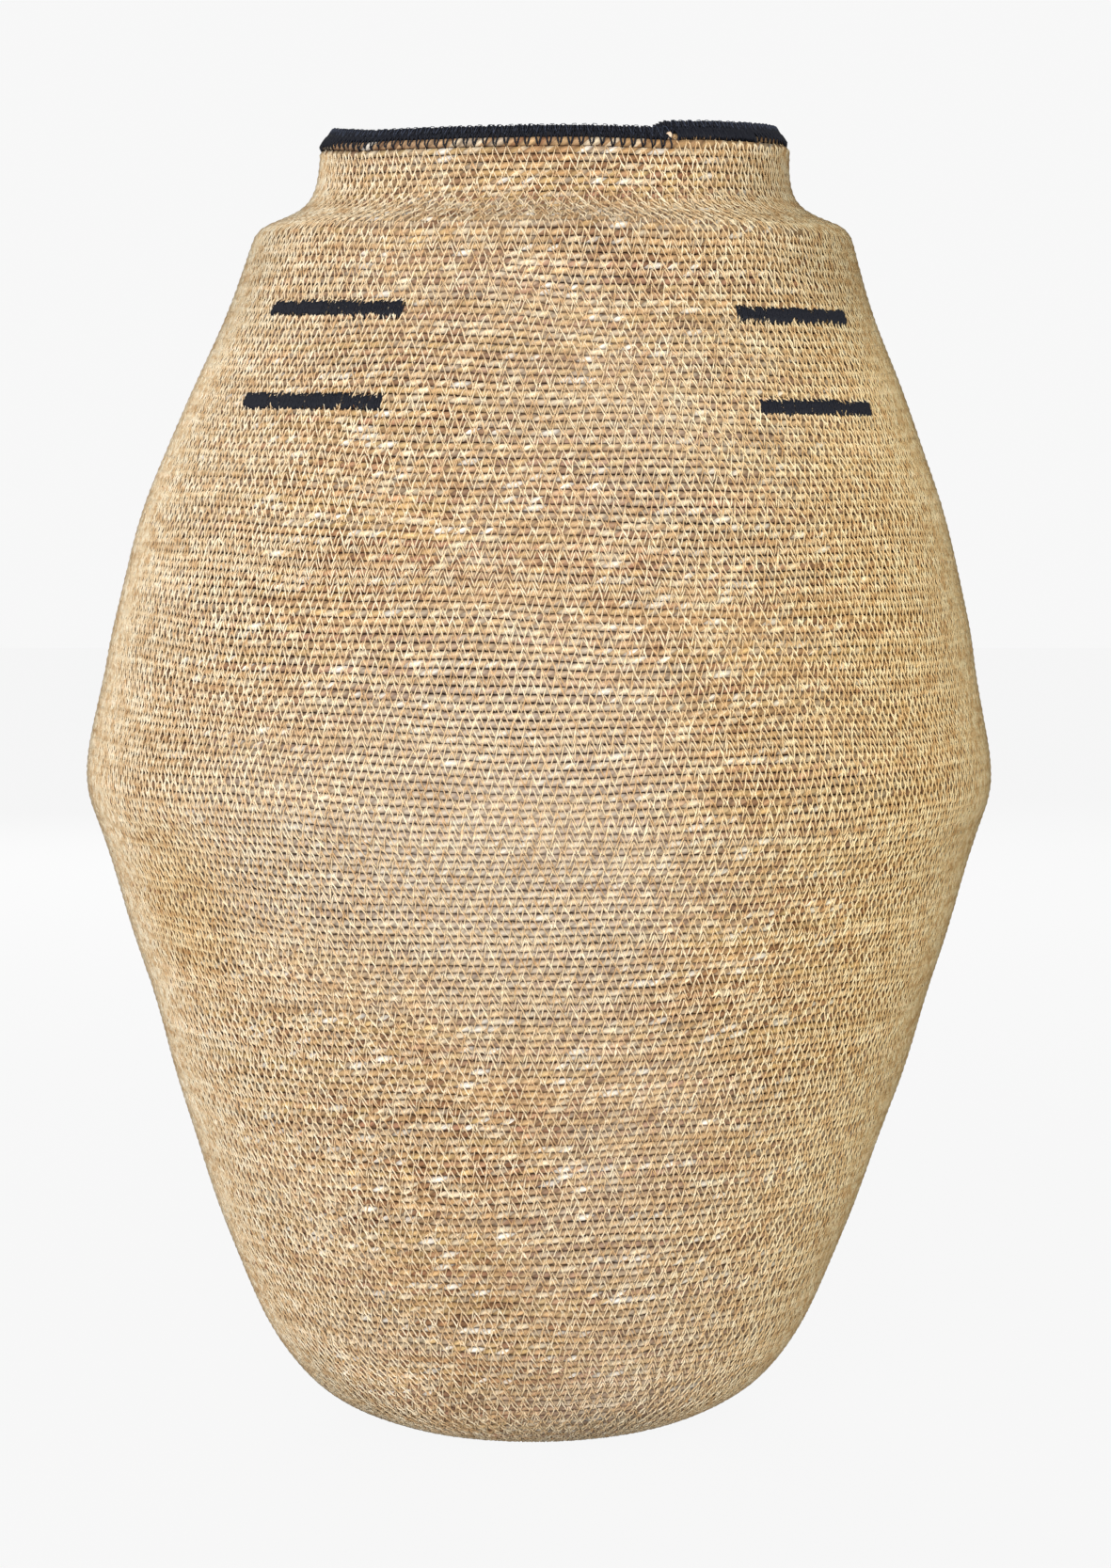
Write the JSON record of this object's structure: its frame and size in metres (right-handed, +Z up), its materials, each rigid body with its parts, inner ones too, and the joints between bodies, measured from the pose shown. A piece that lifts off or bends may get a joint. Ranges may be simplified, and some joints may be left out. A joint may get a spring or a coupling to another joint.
{
  "type": "woven basket",
  "caption": "Tall round floor basket sewn from one coiled seagrass cord, with a wide belly, a narrow open neck, a black cord rim and short black stitched bars.",
  "frame": {"origin": "on the floor under the basket, at the middle of its bounding box, which is the middle of the widest row", "axes": "+Z up, out of the mouth; -Y is the side seen in the picture, +X its right"},
  "size_m": [0.4234, 0.4234, 0.602],
  "materials": {
    "seagrass_cord": "dry twisted seagrass, matt with a slight straw sheen",
    "black_cord": "seagrass cord dyed blue-black, matt",
    "black_thread": "dull black sewing thread",
    "cream_thread": "cream sewing thread, dull"
  },
  "bodies": {
    "root": {"base_disc": "seagrass_cord", "foot_curve": "seagrass_cord", "lower_wall": "seagrass_cord", "flare_wall": "seagrass_cord", "belly_band": "seagrass_cord", "upper_wall": "seagrass_cord", "taper_wall": "seagrass_cord", "shoulder": "seagrass_cord", "neck_root": "seagrass_cord", "neck_collar": "seagrass_cord", "rim_cord": "black_cord", "bar_front_left_upper": "black_thread", "bar_front_left_lower": "black_thread", "bar_front_right_upper": "black_thread", "bar_front_right_lower": "black_thread", "bar_back_right_upper": "black_thread", "bar_back_right_lower": "black_thread", "bar_back_left_upper": "black_thread", "bar_back_left_lower": "black_thread"}
  },
  "joints": []
}
